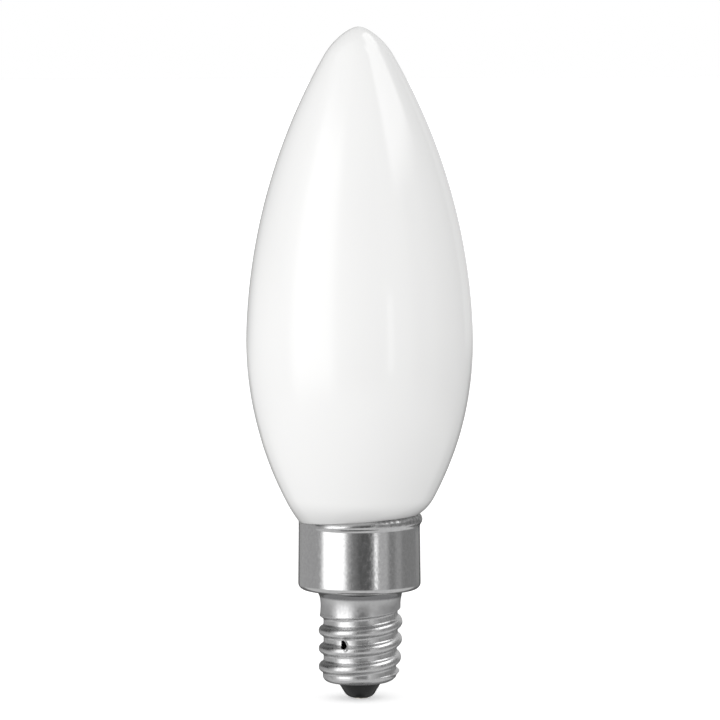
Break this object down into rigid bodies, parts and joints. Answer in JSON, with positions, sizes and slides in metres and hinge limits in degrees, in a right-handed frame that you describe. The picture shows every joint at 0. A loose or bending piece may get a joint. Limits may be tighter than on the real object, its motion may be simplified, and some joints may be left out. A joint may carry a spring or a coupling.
{
  "type": "candle bulb",
  "caption": "Opal candle-shaped bulb with a blunt tip, on a thin metal screw cap with a wide skirt and rolled mouth bead, black cone insulator and centre contact.",
  "frame": {"origin": "middle of the centre contact's face, the lowest point of the bulb when its cap is down", "axes": "+Z along the bulb's axis from the contact to the glass tip; +X and +Y square to it, with the thread's groove starting at +X"},
  "size_m": [0.0316, 0.0316, 0.0941],
  "materials": {
    "opal_glass": "glossy opal white, opaque",
    "nickel_plate": "bright nickel plate with light rolling and handling marks",
    "black_insulator": "glossy black",
    "contact_metal": "tinned, satin"
  },
  "bodies": {
    "root": {"glass_bulb": "opal_glass", "screw_cap": "nickel_plate", "insulator": "black_insulator", "centre_contact": "contact_metal"}
  },
  "joints": []
}
